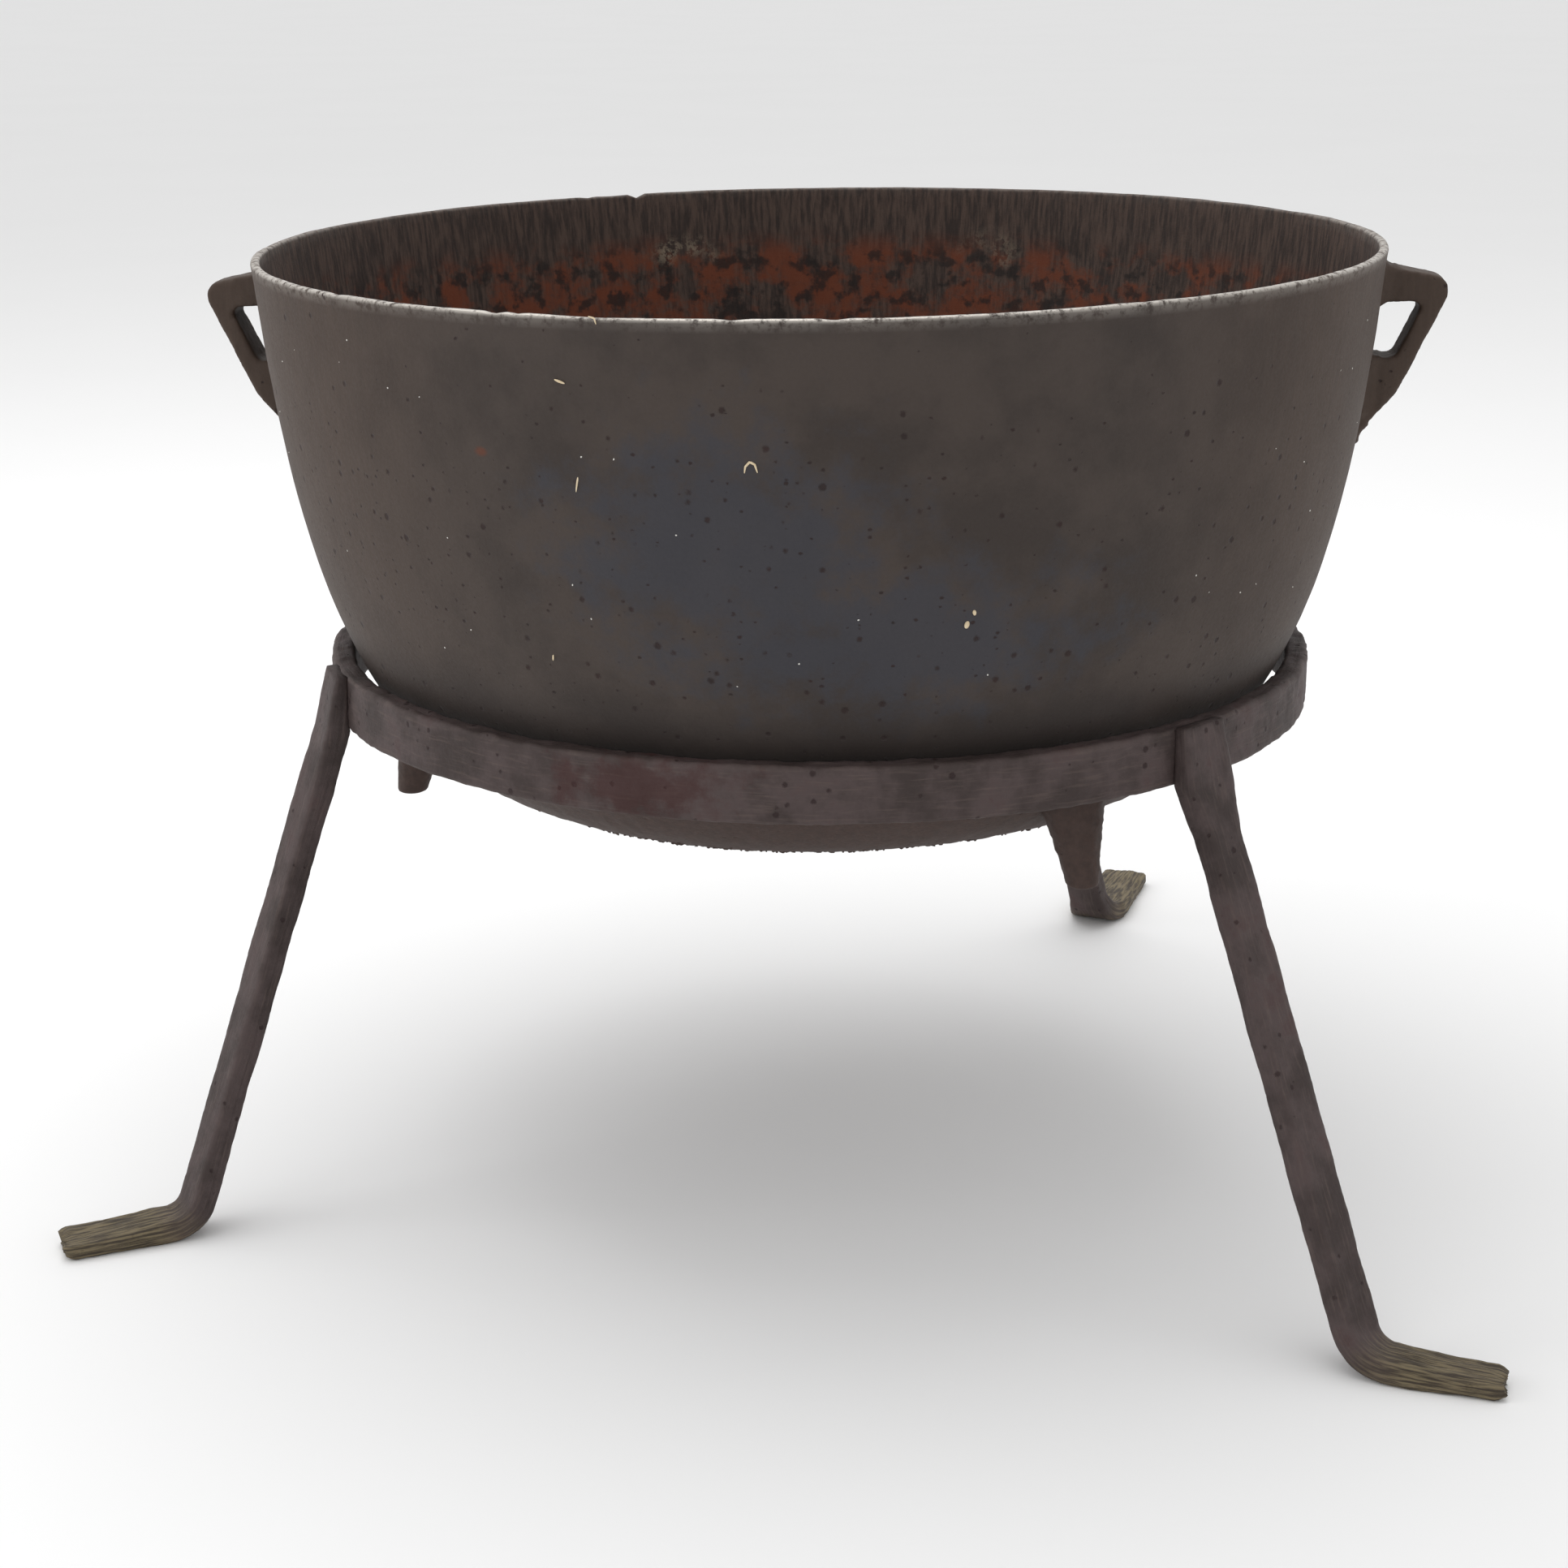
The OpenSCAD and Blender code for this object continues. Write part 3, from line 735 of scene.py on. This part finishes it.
def make_stub(name, azimuth, seed):
    tip = heading(azimuth) * (pot_r(SEAT_DROP) - STUB_IN) + np.array(pot_axis)
    tip[2] = RIM_Z - POT_DEPTH - STUB_STAND
    inward = -heading(azimuth) * math.tan(math.radians(STUB_LEAN)) + np.array([0, 0, 1])
    length = RING_TOP - RING_BAND - tip[2]
    turn = np.linspace(0, 2 * np.pi, 73)[:-1]
    rings = []
    for s in np.r_[0, 0, 0, np.linspace(0.03, 1, 34)]:
        rings.append((s, STUB_TIP_R + (STUB_ROOT_R - STUB_TIP_R) * s ** 1.25))
    rings[0], rings[1], rings[2] = (0, STUB_TIP_R * 0.45), (0, STUB_TIP_R * 0.8), (0.012, STUB_TIP_R * 0.95)
    made = loft(name, [tip + inward * length * s + np.c_[np.cos(turn) * r, np.sin(turn) * r, np.zeros(72)]
                       for s, r in rings])
    points = spots(made)
    up = (points[:, 2] - tip[2]) / length
    swell(made, (0.5 * mm * lumps(points, 9 * mm, 2, seed) + 0.35 * mm * lumps(points, 3 * mm, 2, seed + 1)) * np.clip(up * 6, 0, 1))
    points = spots(made)
    flat = points[:, :2] - np.array(pot_axis)[:2]
    radius = np.linalg.norm(flat, axis=1)
    held = pot_r(RIM_Z - points[:, 2]) - SUNK
    inside = (radius < held) & (points[:, 2] > bowl_low.z)
    points[inside, :2] = np.array(pot_axis)[:2] + flat[inside] * (held / radius)[inside, None]
    reshape(made, points)
    made.data.materials.append(pot_iron)
    lean(made, pot_axis, POT_TILT)
    return made


STUB_AZIMUTH = 184
for number, side in enumerate(("left", "right", "back")):
    stub = make_stub(f"cauldron_foot_{side}", STUB_AZIMUTH + 120 * number, seed=20 + 3 * number)
    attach(stub, "cauldron")
    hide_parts(f"pot_foot_{side}")
    print(stub.name, len(stub.data.polygons), "faces")

# %% [markdown]
# ## Ring
#
# The ring follows a rule: flat bar on edge, bent to a hoop. Geometry Nodes draws the bar's section, carries
# it round a circle and lets noise push the skin in and out as the hammer did. The sizes are inputs of the
# tree, set by each socket's identifier before the modifier first runs. The result becomes a plain mesh.

# %% Helpers for Geometry Nodes
def geo_tree(name, inputs):
    """An empty geometry tree with named inputs. Returns the tree and its inputs."""
    tree = bpy.data.node_groups.new(name, "GeometryNodeTree")
    kinds = {float: "NodeSocketFloat", int: "NodeSocketInt", Vector: "NodeSocketVector"}
    tree.interface.new_socket("Geometry", in_out="INPUT", socket_type="NodeSocketGeometry")
    for label, value in inputs.items():
        kind = kinds.get(type(value), "NodeSocketMaterial")
        tree.interface.new_socket(label, in_out="INPUT", socket_type=kind)
    tree.interface.new_socket("Geometry", in_out="OUTPUT", socket_type="NodeSocketGeometry")
    return tree, tree.nodes.new("NodeGroupInput").outputs


def geo(tree, kind, inputs=None, **settings):
    """One geometry node. Its kind is the end of its name, or the whole name for a shared one."""
    full = kind if kind.startswith(("Shader", "Function", "Geometry")) else "GeometryNode" + kind
    made = tree.nodes.new(full)
    for name, value in settings.items():
        setattr(made, name, value)
    for key, value in (inputs or {}).items():
        if isinstance(value, bpy.types.NodeSocket):
            tree.links.new(value, made.inputs[key])
        else:
            made.inputs[key].default_value = value
    return made


def geo_end(tree, geometry, material):
    """Realize Instances and Set Material, which end every tree."""
    real = geo(tree, "RealizeInstances", {0: geometry}).outputs[0]
    done = geo(tree, "SetMaterial", {0: real, "Material": material}).outputs[0]
    tree.links.new(done, tree.nodes.new("NodeGroupOutput").inputs[0])


def grown(name, tree, inputs, base=None):
    """The mesh that a tree makes from a base mesh, or from nothing, with these inputs."""
    mesh = base.data.copy() if base else bpy.data.meshes.new(name)
    made = bpy.data.objects.new(name, mesh)
    scene.collection.objects.link(made)
    modifier = made.modifiers.new(name, "NODES")
    modifier.node_group = tree
    for socket in tree.interface.items_tree:
        if socket.in_out == "INPUT" and socket.name in inputs:
            modifier[socket.identifier] = inputs[socket.name]
    made.update_tag()
    bpy.context.view_layer.update()
    return baked(made)


# %% Ring
def make_hoop_tree(inputs):
    tree, given = geo_tree("hoop of flat bar", inputs)
    middle = geo(tree, "ShaderNodeMath", {0: given["Bar"], 1: -0.5, 2: given["Outside radius"]}, operation="MULTIPLY_ADD").outputs[0]
    circle = geo(tree, "CurvePrimitiveCircle", {"Resolution": given["Steps"], "Radius": middle}).outputs[0]
    bar = geo(tree, "CurvePrimitiveQuadrilateral", {"Width": given["Bar"], "Height": given["Band"]}).outputs[0]
    soft = geo(tree, "FilletCurve", {"Curve": bar, "Radius": given["Edge"], "Count": 3}, mode="POLY").outputs[0]
    outline = geo(tree, "ResampleCurve", {"Curve": soft, "Count": 46}, mode="COUNT").outputs[0]
    hoop = geo(tree, "CurveToMesh", {"Curve": circle, "Profile Curve": outline}).outputs[0]
    where = geo(tree, "InputPosition").outputs[0]
    blows = geo(tree, "ShaderNodeTexNoise", {"Vector": where, "Scale": given["Blows"], "Detail": 3.0}).outputs[0]
    depth = geo(tree, "ShaderNodeMath", {0: blows, 1: 0.5}, operation="SUBTRACT").outputs[0]
    depth = geo(tree, "ShaderNodeMath", {0: depth, 1: given["Depth"]}, operation="MULTIPLY").outputs[0]
    push = geo(tree, "ShaderNodeVectorMath", {0: geo(tree, "InputNormal").outputs[0], "Scale": depth}, operation="SCALE").outputs[0]
    beaten = geo(tree, "SetPosition", {"Geometry": hoop, "Offset": push}).outputs[0]
    placed = geo(tree, "Transform", {"Geometry": beaten, "Translation": given["Place"]}).outputs[0]
    geo_end(tree, placed, given["Finish"])
    return tree


RING_INPUTS = {"Outside radius": RING_R, "Bar": RING_BAR, "Band": RING_BAND, "Edge": 2.2 * mm, "Steps": 860,
               "Blows": 38.0, "Depth": 2.2 * mm, "Place": stand_axis + Vector((0, 0, RING_TOP - RING_BAND / 2)),
               "Finish": stand_iron}


def make_ring():
    made = grown("stand_hoop", make_hoop_tree(RING_INPUTS), RING_INPUTS)
    points = spots(made)
    flat = points - np.array(stand_axis)
    turn = np.arctan2(flat[:, 1], flat[:, 0])
    radius = np.hypot(flat[:, 0], flat[:, 1])
    around = np.c_[radius - RING_R, points[:, 2]]
    grain = np.c_[around[:, 0] + around[:, 1], turn * RING_R, np.zeros(len(points))]
    top = np.clip((points[:, 2] - RING_TOP + 5 * mm) / (3 * mm), 0, 1)
    fibres = lumps(np.c_[radius, turn * RING_R, points[:, 2]], np.array([3, 14, 5]) * mm, 3, seed=31)
    swell(made, 0.3 * mm * lumps(points, 5 * mm, 2, seed=30) + top * 0.7 * mm * fibres)
    mark(made, "grain", grain)
    corner = (np.abs(radius - RING_R + RING_BAR / 2) / (RING_BAR / 2)) ** 8 \
        * (np.abs(points[:, 2] - RING_TOP + RING_BAND / 2) / (RING_BAND / 2)) ** 20
    mark(made, "edge", np.clip(corner * 2, 0, 1))
    made.data.shade_smooth()
    lean(made, stand_axis, RING_TILT)
    return made


ring = make_ring()
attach(ring, "stand")
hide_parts("stand_ring")
print("ring:", len(ring.data.polygons), "faces")

# %% [markdown]
# ## Legs
#
# A leg is one bar: hammered to a wedge and lapped on the ring, straight down the shank, bent at the heel and
# drawn thin at the toe. The smith's stations are written first, then filled in every two millimetres with a
# section of rounded corners. A Curve with a bevel couldn't widen without thickening, so this is a loft too.

# %% Stations of a leg
LEG_W, LEG_T, TOE_T = 23 * mm, 12.5 * mm, 8.5 * mm
SCARF_W, SCARF_T, SCARF_RUN = 33 * mm, 5 * mm, 26 * mm
LAP_SUNK = 1.5 * mm
LEGS = {
    "left": dict(weld=199, face=211, heel=205.5, splay=101, foot=66, twist=-4, heel_w=24, toe_w=27, bend=18),
    "right": dict(weld=314, face=312, heel=309.5, splay=137, foot=65, twist=32, heel_w=25, toe_w=22, bend=22),
    "back": dict(weld=62, face=64, heel=60, splay=103, foot=92, twist=10, heel_w=38, toe_w=30, bend=22),
}


def leg_stations(weld, face, heel, splay, foot, twist, heel_w, toe_w, bend):
    """Rows of centre, run, side, width and thickness, from the ring's top to the toe."""
    heel_at = heading(heel) * (RING_R + splay * mm) + np.array([0, 0, LEG_T / 2])
    out, side_weld, side_face = heading(heel + twist), heading(weld + 90), heading(face + 90)
    side_foot = heading(heel + twist + 90)
    top = heading(weld) * (RING_R + (SCARF_T - LAP_SUNK) / 2) + np.array([0, 0, RING_TOP])
    lap = heading(weld) * (RING_R + (LEG_T - LAP_SUNK) / 2) + np.array([0, 0, RING_TOP - RING_BAND - 1 * mm])
    down = unit(heel_at - lap)
    half = math.acos(float(-down @ out)) / 2
    back_off = bend * mm / math.tan(half)
    centre = heel_at + unit(out - down) * bend * mm / math.sin(half)
    first, last = heel_at - down * back_off, heel_at + out * back_off
    level = np.array([0, 0, -1.0])
    rows = [(top, level, side_weld, SCARF_W * 0.92, SCARF_T + LAP_SUNK), (lap, level, side_weld, SCARF_W, LEG_T + LAP_SUNK),
            (lap + down * SCARF_RUN * 0.5, down, side_weld + side_face, (LEG_W + SCARF_W) / 2 * 0.97, LEG_T),
            (lap + down * SCARF_RUN, down, side_face, LEG_W, LEG_T), (first, down, side_face, LEG_W, LEG_T)]
    for s in np.linspace(0.1, 1, 10):
        arm = unit((first - centre) * (1 - s) + (last - centre) * s)
        rows.append((centre + arm * bend * mm, unit(down * (1 - s) + out * s), side_face * (1 - s) + side_foot * s,
                     LEG_W + (heel_w * mm - LEG_W) * s, LEG_T))
    for s in np.linspace(0.1, 1, 10):
        thin = LEG_T + (TOE_T - LEG_T) * math.sin(math.pi / 2 * s)
        rows.append((np.array([last[0], last[1], thin / 2]) + out * (foot * mm - back_off) * s, out, side_foot,
                     (heel_w + (toe_w - heel_w) * s) * mm, thin))
    return rows


def section_of(width, thick, count=52):
    """A bar's outline with worn corners, evenly stepped: across it and through it."""
    a = np.linspace(0, 2 * np.pi, 721)[:-1]
    round_off = 2 / 6.5
    across = np.sign(np.cos(a)) * np.abs(np.cos(a)) ** round_off * width / 2
    through = np.sign(np.sin(a)) * np.abs(np.sin(a)) ** round_off * thick / 2
    return even(np.c_[across, through], count, closed=True)


print("stations of the left leg:", len(leg_stations(**LEGS["left"])))


# %% Legs
def make_leg(name, spec, seed):
    rows = leg_stations(**spec)
    table = np.array([np.concatenate([c, unit(r), unit(s), [w, t]]) for c, r, s, w, t in rows])
    along = np.concatenate([[0], np.cumsum(np.linalg.norm(np.diff(table[:, :3], axis=0), axis=1))])
    want = np.linspace(0, along[-1], int(along[-1] / (2 * mm)))
    table = np.stack([np.interp(want, along, table[:, k]) for k in range(table.shape[1])], -1)
    rings, grain, edge, earth = [], [], [], []
    shank = along[-1] - spec["foot"] * mm
    for here, row in zip(want, table):
        run, side = unit(row[3:6]), row[6:9]
        side = unit(side - run * (side @ run))
        through = np.cross(run, side)
        wavy = 1 + 0.035 * noise.noise((here / (28 * mm), seed, 0))
        to_end = along[-1] - here
        blunt = min(1, 0.8 + 0.2 * math.sqrt(max(to_end, 0) / (4 * mm)))
        outline = section_of(row[9] * wavy, row[10]) * blunt
        rings.append(np.array(stand_axis) + row[:3] + outline[:, :1] * side + outline[:, 1:] * through)
        grain.append(np.c_[np.arange(52) * 1.35 * mm, np.full(52, here), np.zeros(52)])
        edge.append((np.abs(outline[:, 0]) / (row[9] / 2)) ** 12 * (np.abs(outline[:, 1]) / (row[10] / 2)) ** 12)
        earth.append(np.full(52, np.clip((here - shank + 6 * mm) / (26 * mm), 0, 1) * 0.85))
    made = loft(name, rings)
    points = spots(made)
    ends = np.array([[0, 0, 0], [0, along[-1], 0]])
    grain = np.vstack([*grain, ends])
    earth = np.r_[np.concatenate(earth), [0, 0.85]]
    edge = np.r_[np.concatenate(edge), [0, 0]]
    fibres = lumps(grain, np.array([3.2, 34, 1]) * mm, 3, seed)
    blows = 0.55 * mm * lumps(points, 22 * mm, 2, seed + 1) + 0.2 * mm * lumps(points, 4 * mm, 2, seed + 2)
    swell(made, blows + 0.95 * mm * fibres * earth ** 2)
    points = spots(made)
    run = unit(table[-1, 3:6])
    near_end = np.clip(1 - (along[-1] - grain[:, 1]) / (9 * mm), 0, 1)
    points += np.outer(near_end * 2.4 * mm * (lumps(grain, np.array([4, 400, 1]) * mm, 2, seed + 3) - 0.35), run)
    points[:, 2] = np.maximum(points[:, 2], 0)
    points[:, 2] = np.minimum(points[:, 2], RING_TOP + 0.6 * mm)
    reshape(made, points)
    mark(made, "grain", grain)
    mark(made, "edge", edge)
    mark(made, "earth", earth)
    made.data.materials.append(stand_iron)
    return made


for number, (side, spec) in enumerate(LEGS.items()):
    leg = make_leg(f"stand_leg_{side}", spec, seed=40 + 5 * number)
    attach(leg, "stand")
    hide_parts(f"leg_{side}")
    print(leg.name, len(leg.data.polygons), "faces")

# %% [markdown]
# ## Scale under the belly
#
# Fire has lifted the skin of the bottom into small flakes, which give its outline a rough fringe. They repeat
# by the thousand, so Geometry Nodes scatters one small lump over the lowest faces, flattened against them,
# each turned and sized by chance from a fixed seed.

# %% Flakes
def make_scatter_tree(name, inputs):
    tree, given = geo_tree(name, inputs)
    points = geo(tree, "DistributePointsOnFaces", {"Mesh": given["Geometry"], "Density": given["Per square metre"],
                                                   "Seed": given["Seed"]}, distribute_method="RANDOM")
    lump = geo(tree, "MeshIcoSphere", {"Radius": 1.0, "Subdivisions": 1}).outputs[0]
    low, high = given["Smallest"], given["Largest"]
    size = geo(tree, "FunctionNodeRandomValue", {0: low, 1: high, "Seed": given["Seed"]}, data_type="FLOAT_VECTOR").outputs[0]
    spin = geo(tree, "FunctionNodeRandomValue", {0: Vector((-0.5, -0.5, 0)), 1: Vector((0.5, 0.5, 6.28)),
                                                 "Seed": given["Seed"]}, data_type="FLOAT_VECTOR").outputs[0]
    turned = geo(tree, "FunctionNodeEulerToRotation", {0: spin}).outputs[0]
    stood = geo(tree, "FunctionNodeRotateRotation", {0: points.outputs["Rotation"], 1: turned}, rotation_space="LOCAL").outputs[0]
    placed = geo(tree, "InstanceOnPoints", {"Points": points.outputs["Points"], "Instance": lump,
                                            "Rotation": stood, "Scale": size}).outputs[0]
    geo_end(tree, placed, given["Finish"])
    return tree


def faces_where(base, name, keep):
    """A copy of the faces of a piece whose middle passes a test."""
    made = bpy.data.objects.new(name, base.data.copy())
    shape = bmesh.new()
    shape.from_mesh(made.data)
    bmesh.ops.delete(shape, geom=[f for f in shape.faces if not keep(f.calc_center_median(), f.normal)], context="FACES")
    shape.to_mesh(made.data)
    shape.free()
    return made


FLAKE_INPUTS = {"Per square metre": 26000.0, "Seed": 7, "Smallest": Vector((0.6, 0.6, 0.3)) * mm,
                "Largest": Vector((2.0, 1.6, 0.9)) * mm, "Finish": pot_iron}
FLAKES_BELOW = RIM_Z - POT_DEPTH + 14 * mm
belly = faces_where(bowl, "belly", lambda c, n: c.z < FLAKES_BELOW and n.z < -0.2 and c.y < pot_axis.y + 0.05)
flakes = grown("cauldron_scale", make_scatter_tree("loose scale", FLAKE_INPUTS), FLAKE_INPUTS, belly)
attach(flakes, "cauldron")
print("flakes:", len(flakes.data.polygons), "faces")

# %% [markdown]
# ## Chaff and lime
#
# Bits of straw and specks of lime cling to the wall. They are what a farm leaves on a pot, and the eye uses
# them to judge its size. The straws lie at their own places. The specks are scattered by the same tree as
# the flakes, over the upper wall.

# %% Chaff and lime
# Each straw is its direction, its height, and its points across and up, in degrees and millimetres
STRAWS = ((-96.0, 422.4, ((-2.8, -2.6), (-2.4, 0.2), (-0.4, 2.3), (1.8, 1.2), (2.9, -2.4)), 0.55),
          (-112.3, 412.7, ((-0.5, -4.3), (0.2, 0.0), (1.1, 4.2)), 0.42),
          (-113.2, 458.1, ((-1.8, 0.6), (0.4, -0.1), (3.2, -0.9)), 0.6),
          (-109.4, 485.2, ((-2.2, 2.0), (0.6, 1.2), (1.4, -1.4)), 0.4),
          (-117.8, 326.5, ((0.0, -1.6), (0.2, 1.2)), 0.45),
          (-75.4, 351.5, ((0.4, -0.8), (0.0, 1.6)), 0.9),
          (-76.0, 346.5, ((-0.6, -1.8), (0.4, 1.4)), 1.2))


def on_wall(azimuth, height, off):
    """A point on the pot's outside, or that far off it."""
    depth = RIM_Z - height
    return np.array(pot_axis) + heading(azimuth) * (float(pot_r(depth)) + off) + np.array([0, 0, height])


def make_straws():
    rings_of = []
    for azimuth, height, path, radius in STRAWS:
        across = heading(azimuth + 90)
        spine = even([on_wall(azimuth, height * mm, 0.3 * mm) + (across * x + np.array([0, 0, z])) * mm for x, z in path], 14)
        run = unit(np.gradient(spine, axis=0))
        out = heading(azimuth)
        side = unit(np.cross(run, out))
        turn = np.linspace(0, 2 * np.pi, 9)[:-1]
        thin = radius * mm * np.sqrt(np.clip(np.sin(np.linspace(0.12, np.pi - 0.12, 14)), 0, 1))
        rings_of.append([c + t * (np.outer(np.cos(turn), s) + np.outer(np.sin(turn), out) * 0.6)
                         for c, s, t in zip(spine, side, thin)])
    parts = [loft("straw", rings) for rings in rings_of]
    shape = bmesh.new()
    for part in parts:
        shape.from_mesh(part.data)
        bpy.data.objects.remove(part)
    made = bpy.data.objects.new("cauldron_chaff", bpy.data.meshes.new("cauldron_chaff"))
    scene.collection.objects.link(made)
    shape.to_mesh(made.data)
    shape.free()
    made.data.shade_smooth()
    made.data.materials.append(straw)
    lean(made, pot_axis, POT_TILT)
    return made


chaff = make_straws()
LIME_INPUTS = {"Per square metre": 330.0, "Seed": 3, "Smallest": Vector((0.25, 0.25, 0.15)) * mm,
               "Largest": Vector((0.6, 0.6, 0.3)) * mm, "Finish": lime}
upper = faces_where(bowl, "upper wall", lambda c, n: RING_TOP + 0.03 < c.z < RIM_Z - 0.02
                    and n.x * (c.x - pot_axis.x) + n.y * (c.y - pot_axis.y) > 0)
specks = grown("cauldron_lime", make_scatter_tree("lime specks", LIME_INPUTS), LIME_INPUTS, upper)
for small in (chaff, specks):
    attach(small, "cauldron")
    print(small.name, len(small.data.polygons), "faces")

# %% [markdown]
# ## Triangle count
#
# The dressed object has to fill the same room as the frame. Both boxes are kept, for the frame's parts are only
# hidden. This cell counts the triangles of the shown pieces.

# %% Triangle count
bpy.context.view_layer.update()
triangles = sum(len(o.data.loop_triangles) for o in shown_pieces() if o.type == "MESH" and not o.data.calc_loop_triangles())
print("triangles:", triangles)
